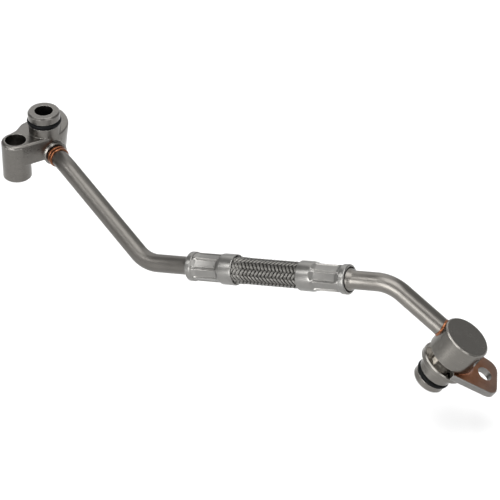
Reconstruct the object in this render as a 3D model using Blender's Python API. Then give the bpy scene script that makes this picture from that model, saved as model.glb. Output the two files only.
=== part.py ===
"""Turbo oil feed line: a bent steel pipe, a short braided hose and a second bent pipe join two O-ring spigots.

The frame stands on the inlet: the origin lies on the block's flat seat, on the axis of its spigot. +Z runs
up that axis, and +X runs level from it towards the outlet plug. Sizes are in metres.
"""

import math

import bmesh
import bpy
from mathutils import Matrix, Vector

MM = 0.001

# Clearances
SEAT_GAP = 0.25 * MM  # between pieces that touch
HOSE_GAP = 0.2 * MM  # between the layers of the hose
OVERCUT = 1.0 * MM  # how far a cutter runs out of a face

# Pipe
PIPE_OD = 8.0 * MM
PIPE_WALL = 1.0 * MM
BEND_RADIUS = 16.0 * MM
BEND_STEPS = 6
PIPE_SIDES = 20

# Hose end of a pipe: a cone up to a bead, then a barbed nose
CONE_LENGTH = 3.2 * MM
CONE_OUTSIDE = 2.6 * MM  # how much of the cone shows outside the ferrule
BEAD_OD = 10.2 * MM
BEAD_LENGTH = 1.0 * MM
BEAD_STEP = 0.2 * MM  # slope from the bead down to the nose
BARB_OD = 5.4 * MM
BARB_DEPTH = 0.45 * MM
BARB_PITCH = 4.4 * MM
BARB_COUNT = 3
NOSE_BORE = 3.2 * MM

# Hose
LINER_WALL = 0.95 * MM  # where it is crimped
BRAID_WALL = 0.4 * MM  # where it is crimped
BRAID_FREE_WALL = 0.7 * MM  # between the ferrules, at a crossing
BRAID_OD = 11.6 * MM
BRAID_FLARE = 0.2 * MM  # how far it swells beside the inlet's ferrule
BRAID_RELIEF = 0.34 * MM  # from the crossings of its strands down to the dimples between them
BRAID_SIDES = 36  # four to each crossing and its dimple
BRAID_PITCH = 0.95 * MM  # between rows of the weave
FLARE_RUN = 3.0 * MM  # outside the ferrule, and again for its fall
SQUEEZE_START = 0.9 * MM  # from the crimp's end
SQUEEZE_END = 0.7 * MM  # from the collar's start

# Ferrules, from the pipe's end to the hose's end
LIP_LENGTH = 3.0 * MM
LIP_OD = 12.9 * MM
LIP_BORE = 11.2 * MM
LIP_DEPTH = 2.0 * MM
LIP_EDGE = 0.5 * MM
CRIMP_START = 5.2 * MM
CRIMP_END = 14.5 * MM
CRIMP_FLATS = 8
CRIMP_WALL = 0.67 * MM
CRIMP_GAP = 0.23 * MM  # between braid and ferrule
CRIMPED_LINER = BARB_OD / 2 + SEAT_GAP + LINER_WALL  # its radius
CRIMP_FLAT = CRIMPED_LINER + HOSE_GAP + BRAID_WALL + CRIMP_GAP + CRIMP_WALL  # from the axis to a flat
COLLAR_START = 17.3 * MM
FERRULE_LENGTH = 23.4 * MM
COLLAR_WALL = 0.5 * MM
COLLAR_GAP = {"inlet": BRAID_FLARE + SEAT_GAP, "outlet": HOSE_GAP}  # round the braid
FERRULE_COLLAR_OD = {end: BRAID_OD + 2 * (gap + COLLAR_WALL) for end, gap in COLLAR_GAP.items()}
CRIMP_TURN = {"inlet": math.radians(19), "outlet": math.radians(-31)}  # of a ridge from upright
FERRULE_SIDES = 40

# Centre line
LOW_BEND = Vector((72.9, -20.5, -30.5)) * MM
HIGH_BEND = Vector((189.0, -3.7, -1.4)) * MM
OUTLET = Vector((221.8, 0.0, -20.9)) * MM  # where the pipe's axis meets the plug's axis
INLET_STRAIGHT = 23.4 * MM  # from the low bend's corner to the ferrule
OUTLET_STRAIGHT = 19.3 * MM  # from the high bend's corner to the ferrule

# Inlet block. Its own frame has Y from its front wall to its back
PORT_HEADING = math.radians(-24.7)
PORT_DEPTH = 8.6 * MM  # of the port's axis under the seat
PORT_OFFSET = 1.2 * MM  # of the port's axis from the spigot's axis
PORT_REACH = 20.0 * MM  # from the spigot's axis to the first bend's corner
BOSS_OD = 11.3 * MM
BOSS_HEIGHT = 1.0 * MM
BOSS_CHAMFER = 0.5 * MM
BOSS_BACK = 7.0 * MM  # how far it runs back under the web, past the spigot's axis
PORT_SOCKET = 3.8 * MM  # its depth from the boss's face
FRONT_WALL = 7.3 * MM  # from the spigot's axis
SLEEVE_OD = 12.9 * MM
SLEEVE_BORE = 9.6 * MM
SLEEVE_LENGTH = 19.2 * MM
SLEEVE_DISTANCE = 15.0 * MM
SLEEVE_EDGE = 0.6 * MM
BODY_END = 14.5 * MM
BODY_DEPTH = 15.5 * MM
BODY_FRONT_RADIUS = 16.0 * MM
BODY_END_WALL = 6.8 * MM  # from the end of the front's round to the back corner
BODY_BACK = BODY_FRONT_RADIUS - FRONT_WALL + BODY_END_WALL
BODY_CORNER_RADIUS = 3.5 * MM
WAIST_RUN = 3.6 * MM  # along the web from the sleeve's axis
WAIST_RISE = 0.25 * MM  # behind the sleeve's edge
WAIST_RADIUS = 5.0 * MM
SHOULDER_RUN = 4.4 * MM  # on from the waist
SHOULDER_DROP = 5.2 * MM  # from the block's back
SHOULDER_RADIUS = 4.0 * MM
BODY_WAIST = Vector((WAIST_RUN - SLEEVE_DISTANCE, SLEEVE_OD / 2 + WAIST_RISE))
BODY_SHOULDER = Vector((BODY_WAIST.x + SHOULDER_RUN, BODY_BACK - SHOULDER_DROP))
BODY_DRAFT = math.radians(8.4)
WEB_DEPTH = 10.6 * MM
WEB_EDGE = 2.5 * MM  # where the deep end of the block begins
WEB_FILLET = 3.0 * MM
TOP_EDGE = 1.2 * MM
BOTTOM_EDGE = 0.6 * MM
JOIN_OVERLAP = 0.05 * MM  # by which a turned piece stands out of the wall that it joins

# Spigots
SPIGOT_BORE = 8.4 * MM
FEED_BORE = 6.0 * MM
LIP_CHAMFER = 0.6 * MM
O_RING_OD = 15.6 * MM
O_RING_SECTION = 2.2 * MM
GROOVE_WIDTH = O_RING_SECTION + 2 * SEAT_GAP
GROOVE_OD = O_RING_OD - 2 * (O_RING_SECTION + SEAT_GAP)
INLET_SHANK_OD = 14.4 * MM
INLET_SHANK_LENGTH = 4.2 * MM
INLET_TIP_OD = 14.6 * MM
INLET_TIP_LENGTH = 3.5 * MM
SPIGOT_ROOT = 2.0 * MM  # how deep the spigot is rooted in the block
INLET_STEP = 1.5 * MM  # depth under the seat at which the wide bore ends
FEED_OVERRUN = 1.6 * MM  # how far the drilling runs past the pipe's axis
DRILL_POINT = 1.3 * MM
DRILL_CHISEL = 0.6 * MM  # across the drill's blunt tip

# Outlet plug, measured down its axis from the cap's face
OUTLET_AXIS = Vector((0.4626, 0.2397, 0.8544))
CAP_OD = 20.8 * MM
CAP_LENGTH = 11.9 * MM
CAP_EDGE = 0.5 * MM
PIPE_UNDER_CAP = 4.8 * MM  # from the cap's face to the pipe's axis
NECK_OD = 12.8 * MM
NECK_LENGTH = 4.0 * MM
COLLAR_THICKNESS = 2.6 * MM
OUTLET_SHANK_OD = 15.06 * MM
OUTLET_SHANK_LENGTH = 4.9 * MM
OUTLET_TIP_OD = 14.5 * MM
OUTLET_TIP_LENGTH = 3.2 * MM
OUTLET_SOCKET = 5.0 * MM  # its depth from the cap's side

# Fixing plate, in a frame on the plug's axis with X towards the bolt
PLATE_THICKNESS = 3.0 * MM
PLATE_SPAN = 23.9 * MM  # over the two tines of its fork
PLATE_TAPER = math.radians(5)
PLATE_REACH = 23.8 * MM
PLATE_START = 1.8 * MM  # from the plug's axis to the ends of the tines
PLATE_CORNER = 5.0 * MM
PLATE_EDGE = 0.3 * MM
PLATE_TURN = math.radians(-21.7)
BOLT_DISTANCE = 17.3 * MM
BOLT_BORE = 6.9 * MM

# Braze
BRAZE_OD = 9.5 * MM
BRAZE_WIDTH = 1.45 * MM
BRAZE_START = 0.8 * MM  # from the boss's face
BRAZE_PITCH = BRAZE_WIDTH + SEAT_GAP
PIPE_FILLET = 0.45 * MM
PIPE_FILLET_HEIGHT = 0.9 * MM
PLATE_FILLET = 1.1 * MM
PLATE_FILLET_SWEEP = math.radians(66)  # to each side of the bolt


def material(name, colour, metallic, roughness):
    """A Principled BSDF material of this colour."""
    made = bpy.data.materials.new(name)
    made.use_nodes = True
    shader = made.node_tree.nodes["Principled BSDF"]
    shader.inputs["Base Color"].default_value = (*colour, 1.0)
    shader.inputs["Metallic"].default_value = metallic
    shader.inputs["Roughness"].default_value = roughness
    return made


def shaded(name, mesh):
    """The object of a mesh, shaded smooth up to its sharp edges."""
    data = bpy.data.meshes.new(name)
    bmesh.ops.recalc_face_normals(mesh, faces=mesh.faces)
    mesh.to_mesh(data)
    mesh.free()
    data.shade_smooth()
    data.set_sharp_from_angle(angle=math.radians(32))
    made = bpy.data.objects.new(name, data)
    bpy.context.scene.collection.objects.link(made)
    return made


def piece(name, mesh, finish):
    """A sub-part with its material."""
    made = shaded(name, mesh)
    made.data.materials.append(finish)
    return made


def boolean(target, name, mesh, operation):
    """Joins a helper solid to the target, or cuts the target with it."""
    helper = shaded(name, mesh)
    helper.hide_render = True
    helper.display_type = "WIRE"
    step = target.modifiers.new(name, "BOOLEAN")
    step.operation = operation
    step.solver = "EXACT"
    step.object = helper


def frame_at(origin, axis, across):
    """The matrix that carries local Z to the axis, and local X as near to across as it can."""
    up = axis.normalized()
    side = (across - up * across.dot(up)).normalized()
    matrix = Matrix((side, up.cross(side), up)).transposed().to_4x4()
    matrix.translation = origin
    return matrix


def ring(mesh, matrix, height, radius, sides):
    """One ring of vertices about local Z. The radius is a number or a function of the angle."""
    found = []
    for step in range(sides):
        angle = math.tau * step / sides
        reach = radius(angle) if callable(radius) else radius
        point = Vector((reach * math.cos(angle), reach * math.sin(angle), height))
        found.append(mesh.verts.new(matrix @ point))
    return found


def skin(mesh, first, second):
    """Quads between two closed loops of as many vertices."""
    for step in range(len(first)):
        after = (step + 1) % len(first)
        mesh.faces.new((first[step], first[after], second[after], second[step]))


def turned(profile, matrix, sides=48):
    """A solid turned about local Z from a profile of (height, radius).

    A profile that starts and ends on the axis makes a plain body. Any other closes on itself round a bore.
    """
    mesh = bmesh.new()
    plain = profile[0][1] == 0
    walls = profile[1:-1] if plain else profile
    rings = [ring(mesh, matrix, height, radius, sides) for height, radius in walls]
    for first, second in zip(rings, rings[1:]):
        skin(mesh, first, second)
    if plain:
        mesh.faces.new(rings[0])
        mesh.faces.new(rings[-1])
    else:
        skin(mesh, rings[-1], rings[0])
    return mesh


def prism(levels, matrix):
    """A solid through flat outlines of as many points: [(height, outline), ...]."""
    mesh = bmesh.new()
    loops = []
    for height, outline in levels:
        loops.append([mesh.verts.new(matrix @ Vector((*point, height))) for point in outline])
    for first, second in zip(loops, loops[1:]):
        skin(mesh, first, second)
    mesh.faces.new(loops[0])
    mesh.faces.new(loops[-1])
    return mesh


def arc(centre, radius, start, end, steps):
    """Points of an arc in a plane, from one angle to another."""
    points = []
    for step in range(steps + 1):
        angle = start + (end - start) * step / steps
        points.append((centre[0] + radius * math.cos(angle), centre[1] + radius * math.sin(angle)))
    return points


def rounded(corners, radii, steps=5):
    """A closed outline with its corners rounded to these radii. Radius 0 keeps a corner sharp."""
    outline = []
    for i, radius in enumerate(radii):
        here = Vector(corners[i])
        if not radius:
            outline.append(tuple(here))
            continue
        before = (Vector(corners[i - 1]) - here).normalized()
        after = (Vector(corners[(i + 1) % len(corners)]) - here).normalized()
        half = before.angle(after) / 2
        centre = here + (before + after).normalized() * (radius / math.sin(half))
        first = here + before * (radius / math.tan(half)) - centre
        last = here + after * (radius / math.tan(half)) - centre
        sweep = -first.angle_signed(last)
        for step in range(steps + 1):
            outline.append(tuple(centre + Matrix.Rotation(sweep * step / steps, 2) @ first))
    return outline


def shrunk(outline, distance):
    """An anticlockwise outline with all its walls moved inwards."""
    moved = []
    for i, point in enumerate(outline):
        here = Vector(point)
        ahead = (Vector(outline[(i + 1) % len(outline)]) - here).normalized()
        behind = (here - Vector(outline[i - 1])).normalized()
        inward = Vector((-ahead.y - behind.y, ahead.x + behind.x))
        moved.append(tuple(here + inward * (distance / (1 + ahead.dot(behind)))))
    return moved


def part_ring(section, matrix, sweep, steps):
    """A section of (height, radius) points swept to both sides of local X."""
    mesh = bmesh.new()
    loops = []
    for step in range(steps + 1):
        spin = Matrix.Rotation(sweep * (2 * step / steps - 1), 4, "Z")
        loops.append([mesh.verts.new(matrix @ spin @ Vector((r, 0, z))) for z, r in section])
    for first, second in zip(loops, loops[1:]):
        skin(mesh, first, second)
    mesh.faces.new(loops[0])
    mesh.faces.new(loops[-1])
    return mesh


def between(table, value):
    """Reads a table of (value, result) along straight lines."""
    for (low, first), (high, second) in zip(table, table[1:]):
        if value <= high:
            return first + (second - first) * max(value - low, 0) / (high - low)
    return table[-1][1]


def o_ring(matrix, height):
    """A round-section ring whose middle lies at this height."""
    half = O_RING_SECTION / 2
    section = arc((height, O_RING_OD / 2 - half), half, 0, math.tau, 10)
    return turned(section[:-1], matrix, 32)


def spigot_end(start, tip_od, tip_length):
    """Profile of an O-ring groove and the tip beyond it, from the end of the shank."""
    groove = start + GROOVE_WIDTH
    end = groove + tip_length
    return [
        (start, GROOVE_OD / 2),
        (groove, GROOVE_OD / 2),
        (groove, tip_od / 2),
        (end - 1.4 * LIP_CHAMFER, tip_od / 2),
        (end, tip_od / 2 - LIP_CHAMFER),
        (end, 0),
    ]


def block_frame():
    """The block's frame, in which Z stays upright."""
    return Matrix.Rotation(PORT_HEADING + math.pi / 2, 4, "Z")


def port_frame():
    """Local Z out of the block along the port's axis, with the origin abreast of the spigot's axis."""
    outward = Vector((math.cos(PORT_HEADING), math.sin(PORT_HEADING), 0))
    origin = block_frame() @ Vector((PORT_OFFSET, 0, -PORT_DEPTH))
    return frame_at(origin, outward, Vector((0, 0, 1)))


def sleeve_centre():
    """The bolt sleeve's centre in the block's frame. The front wall runs into the sleeve's side."""
    y = SLEEVE_OD / 2 - FRONT_WALL
    return Vector((-math.sqrt(SLEEVE_DISTANCE**2 - y**2), y))


def block_outline(lean):
    """The block from above: round the sleeve, along the front, and back by the end wall and the waist.

    The end wall and the corner behind it have moved in by the lean.
    """
    sleeve = sleeve_centre()
    end = BODY_END - lean
    bend = Vector((end - BODY_FRONT_RADIUS, BODY_FRONT_RADIUS - FRONT_WALL))
    outline = arc(sleeve, SLEEVE_OD / 2, math.radians(90), math.radians(270), 14)
    outline += arc(bend, BODY_FRONT_RADIUS, math.radians(-90), 0, 9)
    back = [
        (end, bend.y),
        (end, BODY_BACK - lean),
        BODY_SHOULDER,
        BODY_WAIST,
        sleeve + Vector((0, SLEEVE_OD / 2)),
    ]
    return outline + rounded(back, [0, BODY_CORNER_RADIUS, SHOULDER_RADIUS, WAIST_RADIUS, 0], 4)[1:-1]


def block_slab(place):
    """Body and web as one drafted slab with rounded edges above and below."""
    quarter = [math.radians(angle) for angle in (0, 30, 60, 90)]
    walls = [(TOP_EDGE * (math.cos(a) - 1), TOP_EDGE * (1 - math.sin(a))) for a in quarter]
    for angle in reversed(quarter):
        height = BOTTOM_EDGE * (1 - math.cos(angle)) - BODY_DEPTH
        walls.append((height, BOTTOM_EDGE * (1 - math.sin(angle))))
    levels = []
    for height, inset in walls:
        lean = -height * math.tan(BODY_DRAFT)
        levels.append((height, shrunk(block_outline(lean), inset)))
    return prism(levels, place)


def web_cutter(place):
    """Clears the space under the web and leaves a fillet at the body."""
    far = SLEEVE_LENGTH + SLEEVE_DISTANCE
    corners = [(-far, -WEB_DEPTH), (-far, -far), (WEB_EDGE, -far), (WEB_EDGE, -WEB_DEPTH)]
    outline = rounded(corners, [0, 0, 0, WEB_FILLET])
    sideways = place @ Matrix.Rotation(math.pi / 2, 4, "X")
    return prism([(-far, outline), (far, outline)], sideways)


def sleeve_turning(place):
    """The bolt sleeve, from just under the top edge's rounding to its lower end."""
    radius = SLEEVE_OD / 2 + JOIN_OVERLAP
    profile = [
        (-SLEEVE_LENGTH, 0),
        (-SLEEVE_LENGTH, radius - SLEEVE_EDGE),
        (SLEEVE_EDGE - SLEEVE_LENGTH, radius),
        (-TOP_EDGE, radius),
        (-TOP_EDGE, 0),
    ]
    return turned(profile, place @ Matrix.Translation(sleeve_centre().to_3d()))


def inlet_spigot(place):
    """Shank, groove and tip of the inlet, rooted under the seat."""
    radius = INLET_SHANK_OD / 2
    root = [(-SPIGOT_ROOT, 0), (-SPIGOT_ROOT, radius), (INLET_SHANK_LENGTH, radius)]
    return turned(root + spigot_end(INLET_SHANK_LENGTH, INLET_TIP_OD, INLET_TIP_LENGTH), place)


def feed_drill(floor, step, end):
    """Profile of a spigot's drilling: its point, the narrow run from the floor, and the wide bore."""
    tip = floor - DRILL_POINT
    return [
        (tip, 0),
        (tip, DRILL_CHISEL / 2),
        (floor, FEED_BORE / 2),
        (step, FEED_BORE / 2),
        (step, SPIGOT_BORE / 2),
        (end, SPIGOT_BORE / 2),
        (end, 0),
    ]


def socket_drill(floor, end):
    """Profile of a pipe's socket and of the narrow drilling from its floor to the spigot's axis."""
    return [
        (0, 0),
        (0, PIPE_OD / 2 - PIPE_WALL),
        (floor, PIPE_OD / 2 - PIPE_WALL),
        (floor, PIPE_OD / 2 + SEAT_GAP),
        (end, PIPE_OD / 2 + SEAT_GAP),
        (end, 0),
    ]


def hole_drill(bore, low, high):
    """Profile of a plain hole that runs out of both faces."""
    low -= OVERCUT
    high += OVERCUT
    return [(low, 0), (low, bore / 2), (high, bore / 2), (high, 0)]


def make_inlet_block(steel):
    """The block cut from one piece, with its sleeve, port boss and spigot, then its bores."""
    place = block_frame()
    port = port_frame()
    block = piece("inlet_block", block_slab(place), steel)
    boolean(block, "web_space", web_cutter(place), "DIFFERENCE")
    boolean(block, "sleeve", sleeve_turning(place), "UNION")
    face = FRONT_WALL + BOSS_HEIGHT
    boss = [
        (-BOSS_BACK, 0),
        (-BOSS_BACK, BOSS_OD / 2 - BOSS_CHAMFER),
        (BOSS_CHAMFER - BOSS_BACK, BOSS_OD / 2),
        (face - BOSS_CHAMFER, BOSS_OD / 2),
        (face, BOSS_OD / 2 - BOSS_CHAMFER),
        (face, 0),
    ]
    boolean(block, "port_boss", turned(boss, port), "UNION")
    boolean(block, "spigot", inlet_spigot(place), "UNION")
    floor = -PORT_DEPTH - FEED_OVERRUN
    top = INLET_SHANK_LENGTH + GROOVE_WIDTH + INLET_TIP_LENGTH
    feed = feed_drill(floor, -INLET_STEP, top + OVERCUT)
    boolean(block, "feed_bore", turned(feed, place, 32), "DIFFERENCE")
    socket = socket_drill(face - PORT_SOCKET, face + OVERCUT)
    boolean(block, "port_bore", turned(socket, port, 32), "DIFFERENCE")
    sleeve = place @ Matrix.Translation(sleeve_centre().to_3d())
    hole = hole_drill(SLEEVE_BORE, -SLEEVE_LENGTH, 0)
    boolean(block, "bolt_bore", turned(hole, sleeve), "DIFFERENCE")


def route(corners):
    """(point, direction) along a centre line, with a bend of BEND_RADIUS at each inner corner."""
    heading = (corners[1] - corners[0]).normalized()
    stations = [(corners[0], heading)]
    for here, after in zip(corners[1:], corners[2:]):
        ahead = (after - here).normalized()
        turn = heading.angle(ahead)
        axis = heading.cross(ahead)
        centre = here + (ahead - heading).normalized() * (BEND_RADIUS / math.cos(turn / 2))
        start = here - heading * (BEND_RADIUS * math.tan(turn / 2)) - centre
        for step in range(BEND_STEPS + 1):
            spin = Matrix.Rotation(turn * step / BEND_STEPS, 3, axis)
            stations.append((centre + spin @ start, spin @ heading))
        heading = ahead
    stations.append((corners[-1], heading))
    return stations


def hose_end():
    """Outside and bore of a pipe's hose end, as (distance, radius) from the foot of its cone."""
    low = BARB_OD / 2 - BARB_DEPTH
    shoulder = CONE_LENGTH + BEAD_LENGTH
    outside = [(CONE_LENGTH, BEAD_OD / 2), (shoulder, BEAD_OD / 2), (shoulder + BEAD_STEP, low)]
    for barb in range(BARB_COUNT):
        start = shoulder + (barb + 0.25) * BARB_PITCH
        outside.append((start, low))
        outside.append((start + 0.12 * BARB_PITCH, BARB_OD / 2))
        outside.append((start + 0.75 * BARB_PITCH, low))
    bore = [(0, PIPE_OD / 2 - PIPE_WALL), (shoulder, NOSE_BORE / 2), (outside[-1][0], NOSE_BORE / 2)]
    return outside, bore


def bent_pipe(corners):
    """A hollow pipe along its route, with a plain end in its socket and a hose end."""
    mesh = bmesh.new()
    side = Vector((0, 0, 1))
    frames = []
    for point, direction in route(corners):
        frames.append(frame_at(point, direction, side))
        side = frames[-1].col[0].to_3d()
    outside, bore = hose_end()
    outer = [ring(mesh, frame, 0, PIPE_OD / 2, PIPE_SIDES) for frame in frames]
    outer += [ring(mesh, frames[-1], reach, radius, PIPE_SIDES) for reach, radius in outside]
    inner = [ring(mesh, frame, 0, PIPE_OD / 2 - PIPE_WALL, PIPE_SIDES) for frame in frames]
    inner += [ring(mesh, frames[-1], reach, radius, PIPE_SIDES) for reach, radius in bore[1:]]
    loops = outer + inner[::-1]
    for first, second in zip(loops, loops[1:] + loops[:1]):
        skin(mesh, first, second)
    return mesh


def hose_direction():
    """The hose's direction, from the inlet's ferrule to the outlet's."""
    return (HIGH_BEND - LOW_BEND).normalized()


def ferrule_frame(end):
    """A ferrule's frame, with the origin in its mouth, Z towards the hose and X up."""
    along = hose_direction()
    if end == "inlet":
        return frame_at(LOW_BEND + along * INLET_STRAIGHT, along, Vector((0, 0, 1)))
    return frame_at(HIGH_BEND - along * OUTLET_STRAIGHT, -along, Vector((0, 0, 1)))


def hose_length():
    """From the mouth of one ferrule to the mouth of the other."""
    return (HIGH_BEND - LOW_BEND).length - INLET_STRAIGHT - OUTLET_STRAIGHT


def crimped(round_radius, flat):
    """The radius of a turned wall that a press has squeezed to flats, by angle from a ridge."""
    spread = math.tau / CRIMP_FLATS

    def radius(angle):
        return min(round_radius, flat / math.cos(angle % spread - spread / 2))

    return radius


def make_ferrule(end, steel):
    """A crimped ferrule: lip, eight flats and collar outside, and a stepped bore."""
    lip = LIP_OD / 2
    collar = FERRULE_COLLAR_OD[end] / 2
    ridge = CRIMP_FLAT / math.cos(math.pi / CRIMP_FLATS)
    grip = CRIMP_FLAT - CRIMP_WALL
    outside = [
        (0, lip - LIP_EDGE, lip),
        (LIP_EDGE, lip, lip),
        (LIP_LENGTH - LIP_EDGE, lip, lip),
        (LIP_LENGTH, lip - LIP_EDGE / 2, lip - LIP_EDGE / 2),
        ((LIP_LENGTH + CRIMP_START) / 2, (lip + ridge) / 2, (lip + CRIMP_FLAT) / 2),
        (CRIMP_START, ridge, CRIMP_FLAT),
        (CRIMP_END, ridge, CRIMP_FLAT),
        ((CRIMP_END + COLLAR_START) / 2, (collar + ridge) / 2, (collar + CRIMP_FLAT) / 2),
        (COLLAR_START, collar, collar),
        (FERRULE_LENGTH - LIP_EDGE, collar, collar),
        (FERRULE_LENGTH, collar - LIP_EDGE, collar),
    ]
    bore = [
        (FERRULE_LENGTH, collar - COLLAR_WALL),
        (COLLAR_START, collar - COLLAR_WALL),
        (CRIMP_END + 0.4 * MM, grip),
        (LIP_DEPTH + 0.3 * MM, grip),
        (LIP_DEPTH, LIP_BORE / 2),
        (0, LIP_BORE / 2),
    ]
    profile = [(height, crimped(limit, flat)) for height, limit, flat in outside]
    place = ferrule_frame(end) @ Matrix.Rotation(CRIMP_TURN[end], 4, "Z")
    piece(end + "_ferrule", turned(profile + bore, place, FERRULE_SIDES), steel)


def hose_start():
    """Where the hose begins behind the pipe's bead, from the ferrule's mouth."""
    return CONE_LENGTH - CONE_OUTSIDE + BEAD_LENGTH + BEAD_STEP + SEAT_GAP


def squeezed(crimp_radius, free_radius, flare=0.0):
    """Table of a hose layer's radius along the hose, narrow under both crimps."""
    total = hose_length()
    swell = FERRULE_LENGTH + FLARE_RUN
    narrow, wide = CRIMP_END + SQUEEZE_START, COLLAR_START + SQUEEZE_END
    return [
        (narrow, crimp_radius),
        (wide, free_radius + flare),
        (swell, free_radius + flare),
        (swell + FLARE_RUN, free_radius),
        (total - wide, free_radius),
        (total - narrow, crimp_radius),
        (total, crimp_radius),
    ]


def liner_radii():
    """Radii of the liner: its bore, its outside under the crimps, and its outside between them."""
    return BARB_OD / 2 + SEAT_GAP, CRIMPED_LINER, BRAID_OD / 2 - BRAID_FREE_WALL - HOSE_GAP


def make_liner(rubber):
    """The smooth hose under the braid, over the barbs of both pipes."""
    bore, crimp, free = liner_radii()
    first, last = hose_start(), hose_length() - hose_start()
    walls = squeezed(crimp, free)
    profile = [(first, bore), (first, crimp), walls[0], walls[1], walls[4], walls[5], (last, crimp), (last, bore)]
    piece("hose_liner", turned(profile, ferrule_frame("inlet"), 28), rubber)


def weave(row):
    """How deep the braid's surface lies at each angle of a row, from 0 at a crossing to 1 in a dimple."""

    def depth(angle):
        side = round(angle / math.tau * BRAID_SIDES)
        if (side + row) % 2:
            return 0.5
        if side % 2:
            return 0.2
        return 0.0 if (side + row) % 4 == 0 else 1.0

    return depth


def woven_ring(mesh, matrix, height, radius, row):
    """One row of the braid."""
    depth = weave(row)
    return ring(mesh, matrix, height, lambda angle: radius - BRAID_RELIEF * depth(angle), BRAID_SIDES)


def make_braid(wire):
    """The wire braid: two sets of strands cross on its outside, and its ends lie under the ferrules."""
    mesh = bmesh.new()
    matrix = ferrule_frame("inlet")
    _, liner_crimp, liner_free = liner_radii()
    total = hose_length()
    first, last = hose_start(), total - hose_start()
    crimp = liner_crimp + HOSE_GAP + BRAID_WALL
    outer = squeezed(crimp, BRAID_OD / 2, BRAID_FLARE)
    inner = squeezed(liner_crimp + HOSE_GAP, liner_free + HOSE_GAP)
    bore = [(last, inner[0][1]), inner[5], inner[4], inner[1], inner[0], (first, inner[0][1])]
    woven = COLLAR_START + 1.5 * MM
    rows = round((total - 2 * woven) / BRAID_PITCH)
    loops = [ring(mesh, matrix, height, crimp, BRAID_SIDES) for height in (first, outer[0][0])]
    for row in range(rows + 1):
        height = woven + (total - 2 * woven) * row / rows
        loops.append(woven_ring(mesh, matrix, height, between(outer, height), row))
    loops += [ring(mesh, matrix, height, crimp, BRAID_SIDES) for height in (outer[5][0], last)]
    loops += [ring(mesh, matrix, height, radius, BRAID_SIDES) for height, radius in bore]
    for near, far in zip(loops, loops[1:] + loops[:1]):
        skin(mesh, near, far)
    piece("hose_braid", mesh, wire)


def outlet_run():
    """The direction of the last straight, into the plug."""
    return (OUTLET - HIGH_BEND).normalized()


def plug_frame():
    """The plug's frame: the origin in the cap's face, Z down to the tip, X along the pipe's last straight."""
    run = outlet_run()
    up = (OUTLET_AXIS - run * OUTLET_AXIS.dot(run)).normalized()
    return frame_at(OUTLET + up * PIPE_UNDER_CAP, -up, run)


def plate_frame():
    """The plug's frame turned so that X points to the bolt."""
    return plug_frame() @ Matrix.Rotation(PLATE_TURN, 4, "Z")


def plug_profile():
    """The plug's turned profile down to its tip."""
    cap, neck = CAP_OD / 2, NECK_OD / 2
    collar = CAP_LENGTH + NECK_LENGTH
    shoulder = collar + COLLAR_THICKNESS
    shank = shoulder + OUTLET_SHANK_LENGTH
    edge = CAP_EDGE
    return [
        (0, 0),
        (0, cap - edge),
        (edge, cap),
        (CAP_LENGTH - edge / 2, cap),
        (CAP_LENGTH, cap - edge / 2),
        (CAP_LENGTH, neck),
        (collar, neck),
        (collar, cap - edge),
        (collar + edge, cap),
        (shoulder - edge / 2, cap),
        (shoulder, cap - edge / 2),
        (shoulder, OUTLET_SHANK_OD / 2),
        (shank, OUTLET_SHANK_OD / 2),
        *spigot_end(shank, OUTLET_TIP_OD, OUTLET_TIP_LENGTH),
    ]


def make_outlet_body(steel):
    """The plug turned from one bar: cap, neck, collar and spigot, with its feed bore and pipe socket."""
    place = plug_frame()
    profile = plug_profile()
    body = piece("outlet_body", turned(profile, place), steel)
    tip = profile[-1][0]
    feed = feed_drill(PIPE_UNDER_CAP - FEED_OVERRUN, CAP_LENGTH + NECK_LENGTH, tip + OVERCUT)
    boolean(body, "plug_bore", turned(feed, place, 32), "DIFFERENCE")
    socket = socket_drill(CAP_OD / 2 - OUTLET_SOCKET, CAP_OD / 2 + OVERCUT)
    back = frame_at(OUTLET, -outlet_run(), place.col[2].to_3d())
    boolean(body, "pipe_socket", turned(socket, back, 32), "DIFFERENCE")


def make_plate(steel):
    """The forked plate: a round slot over the plug's neck, two tines, and a bolt hole."""
    place = plate_frame()
    half = PLATE_SPAN / 2
    end = half - PLATE_REACH * math.tan(PLATE_TAPER)
    slot = NECK_OD / 2 + SEAT_GAP
    start = half - PLATE_START * math.tan(PLATE_TAPER)
    corners = [(PLATE_START, -start), (PLATE_REACH, -end), (PLATE_REACH, end), (PLATE_START, start)]
    outline = rounded(corners, [0, PLATE_CORNER, PLATE_CORNER, 0])
    open_side = math.acos(PLATE_START / slot)
    outline += arc((0, 0), slot, open_side, -open_side, 16)
    top = CAP_LENGTH + SEAT_GAP
    bottom = top + PLATE_THICKNESS
    levels = [
        (top, shrunk(outline, PLATE_EDGE)),
        (top + PLATE_EDGE, outline),
        (bottom - PLATE_EDGE, outline),
        (bottom, shrunk(outline, PLATE_EDGE)),
    ]
    plate = piece("flange_plate", prism(levels, place), steel)
    hole = hole_drill(BOLT_BORE, top, bottom)
    bolt = place @ Matrix.Translation(Vector((BOLT_DISTANCE, 0, 0)))
    boolean(plate, "plate_bore", turned(hole, bolt, 40), "DIFFERENCE")


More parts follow.
